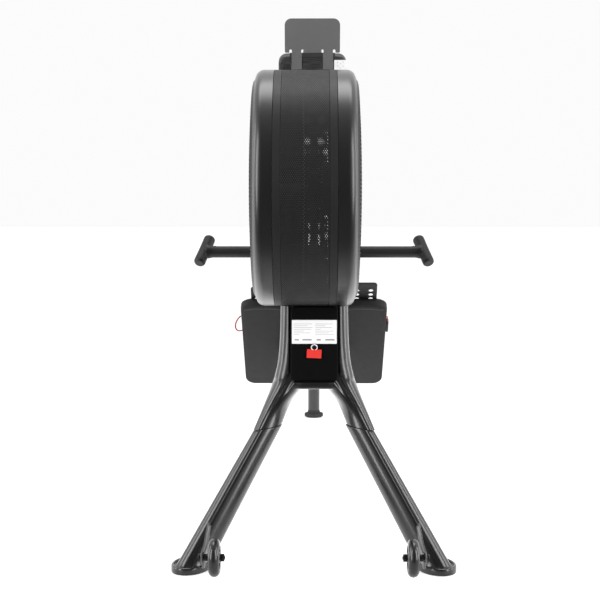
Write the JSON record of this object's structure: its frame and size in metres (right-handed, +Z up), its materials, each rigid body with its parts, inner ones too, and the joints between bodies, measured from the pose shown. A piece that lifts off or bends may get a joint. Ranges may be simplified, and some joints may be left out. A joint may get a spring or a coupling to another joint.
{
  "type": "rowing machine",
  "caption": "Air-resistance rowing machine: perforated fan drum on a splayed front column, belt-pulled handle, strapped footrests, level rail with rolling seat, and tilting console.",
  "frame": {"origin": "on the floor, under the middle of the bounding box", "axes": "+Z up, +Y from the fan drum towards the rear end of the rail, +X to the right seen from in front of the drum"},
  "size_m": [0.61, 2.286, 1.2166],
  "materials": {
    "painted_frame": "satin black powder coat",
    "panel": "matte black",
    "rubber": "matte black",
    "bracket_metal": "satin dark paint",
    "dark_hardware": "black oxide",
    "wheel_tyre": "matte black",
    "band_sheet": "matte charcoal perforated sheet",
    "rim_gloss": "gloss black",
    "grille_mesh": "satin black mesh",
    "fan_plastic": "matte dark grey",
    "bright_steel": "machined steel",
    "housing_plastic": "matte charcoal",
    "belt": "woven black belt",
    "rail_aluminium": "anodised aluminium",
    "track_steel": "polished track strip",
    "footboard_plastic": "matte charcoal",
    "heel_plastic": "matte charcoal",
    "strap_webbing": "woven webbing",
    "grip_foam": "soft matte grip",
    "seat_foam": "moulded foam skin",
    "roller_plastic": "hard plastic roller",
    "console_shell": "matte black",
    "display": "display behind clear lens",
    "holder_sheet": "satin grey sheet",
    "button": "soft button",
    "label": "plain white sticker",
    "tag": "plain red tag"
  },
  "bodies": {
    "frame": {"front_column": "painted_frame", "column_cover": "panel", "left_leg": "painted_frame", "right_leg": "painted_frame", "left_foot_pad": "rubber", "right_foot_pad": "rubber", "wheel_brackets": "bracket_metal", "wheel_axle_bolts": "dark_hardware", "drum_band": "band_sheet", "left_drum_rim": "rim_gloss", "right_drum_rim": "rim_gloss", "left_side_grille": "grille_mesh", "right_side_grille": "grille_mesh", "axle_yoke": "painted_frame", "fan_bearings": "bright_steel", "speed_sensor": "housing_plastic", "return_spring_case": "painted_frame", "drive_belt": "belt", "roller_pin": "bright_steel", "console_mast": "painted_frame", "handle_rest": "housing_plastic", "rear_spine": "painted_frame", "seat_rail": "rail_aluminium", "rail_tracks": "track_steel", "rail_stops": "rubber", "rail_end_cap": "rubber", "rear_leg": "painted_frame", "rear_foot": "rubber", "frame_bolts": "dark_hardware", "footrest_crossbar": "painted_frame", "left_footboard": "footboard_plastic", "right_footboard": "footboard_plastic", "left_foot_strap": "strap_webbing", "right_foot_strap": "strap_webbing", "rating_label": "label", "hang_tag": "tag"},
    "fan": {"fan_axle": "bright_steel", "fan_wheel": "fan_plastic"},
    "spool": {"belt_spool": "bright_steel", "belt_coil": "belt"},
    "guide": {"guide_roller": "housing_plastic"},
    "handle": {"handle_bar": "bright_steel", "handle_grips": "grip_foam", "end_grips": "grip_foam", "pull_belt": "belt"},
    "seat": {"seat_carriage": "painted_frame", "seat_pad": "seat_foam"},
    "front_roller_set": {"front_rollers": "roller_plastic"},
    "rear_roller_set": {"rear_rollers": "roller_plastic"},
    "under_roller_set": {"under_rollers": "roller_plastic"},
    "left_wheel": {"left_transport_wheel": "wheel_tyre"},
    "right_wheel": {"right_transport_wheel": "wheel_tyre"},
    "left_heel": {"left_heel_plate": "heel_plastic"},
    "right_heel": {"right_heel_plate": "heel_plastic"},
    "console": {"console_back": "console_shell", "console_front": "housing_plastic", "display_lens": "display", "phone_holder": "holder_sheet"},
    "menu_key": {"menu_button": "button"},
    "select_key": {"select_button": "button"}
  },
  "joints": [
    {"name": "fan_spin", "type": "hinge", "parent": "frame", "child": "fan", "pos_m": [-0.018, -0.887, 0.816], "axis": [1, 0, 0], "continuous": true},
    {"name": "handle_pull", "type": "slide", "parent": "frame", "child": "handle", "axis": [0, 1, 0], "range_m": [0, 1.2], "stiffness_N_per_m": 20, "springref_m": -0.4},
    {"name": "spool_spin", "type": "hinge", "parent": "frame", "child": "spool", "pos_m": [0, -0.887, 0.816], "axis": [1, 0, 0], "continuous": true},
    {"name": "guide_spin", "type": "hinge", "parent": "frame", "child": "guide", "pos_m": [0, -0.605, 0.6783], "axis": [1, 0, 0], "continuous": true},
    {"name": "seat_slide", "type": "slide", "parent": "frame", "child": "seat", "axis": [0, 1, 0], "range_m": [-0.7, 0.46]},
    {"name": "front_roller_spin", "type": "hinge", "parent": "seat", "child": "front_roller_set", "pos_m": [0, 0.428, 0.4563], "axis": [1, 0, 0], "continuous": true},
    {"name": "rear_roller_spin", "type": "hinge", "parent": "seat", "child": "rear_roller_set", "pos_m": [0, 0.558, 0.4563], "axis": [1, 0, 0], "continuous": true},
    {"name": "under_roller_spin", "type": "hinge", "parent": "seat", "child": "under_roller_set", "pos_m": [0, 0.493, 0.4202], "axis": [1, 0, 0], "continuous": true},
    {"name": "left_wheel_spin", "type": "hinge", "parent": "frame", "child": "left_wheel", "pos_m": [-0.206, -1.102, 0.0525], "axis": [1, 0, 0], "continuous": true},
    {"name": "right_wheel_spin", "type": "hinge", "parent": "frame", "child": "right_wheel", "pos_m": [0.206, -1.102, 0.0525], "axis": [1, 0, 0], "continuous": true},
    {"name": "left_heel_slide", "type": "slide", "parent": "frame", "child": "left_heel", "axis": [0, -0.7071, 0.7071], "range_m": [-0.045, 0.03]},
    {"name": "right_heel_slide", "type": "slide", "parent": "frame", "child": "right_heel", "axis": [0, -0.7071, 0.7071], "range_m": [-0.06, 0.015]},
    {"name": "console_tilt", "type": "hinge", "parent": "frame", "child": "console", "pos_m": [0, -0.552, 0.995], "axis": [1, 0, 0], "range_deg": [-15, 20]},
    {"name": "menu_press", "type": "slide", "parent": "console", "child": "menu_key", "axis": [0, -0.9397, -0.342], "range_m": [0, 0.001], "stiffness_N_per_m": 800},
    {"name": "select_press", "type": "slide", "parent": "console", "child": "select_key", "axis": [0, -0.9397, -0.342], "range_m": [0, 0.001], "stiffness_N_per_m": 800}
  ],
  "couplings": [
    {"joint": "spool_spin", "follows": "handle_pull", "rad_per_m": 26.81},
    {"joint": "guide_spin", "follows": "handle_pull", "rad_per_m": 65.359},
    {"joint": "front_roller_spin", "follows": "seat_slide", "rad_per_m": -62.5},
    {"joint": "rear_roller_spin", "follows": "seat_slide", "rad_per_m": -62.5},
    {"joint": "under_roller_spin", "follows": "seat_slide", "rad_per_m": 100}
  ]
}
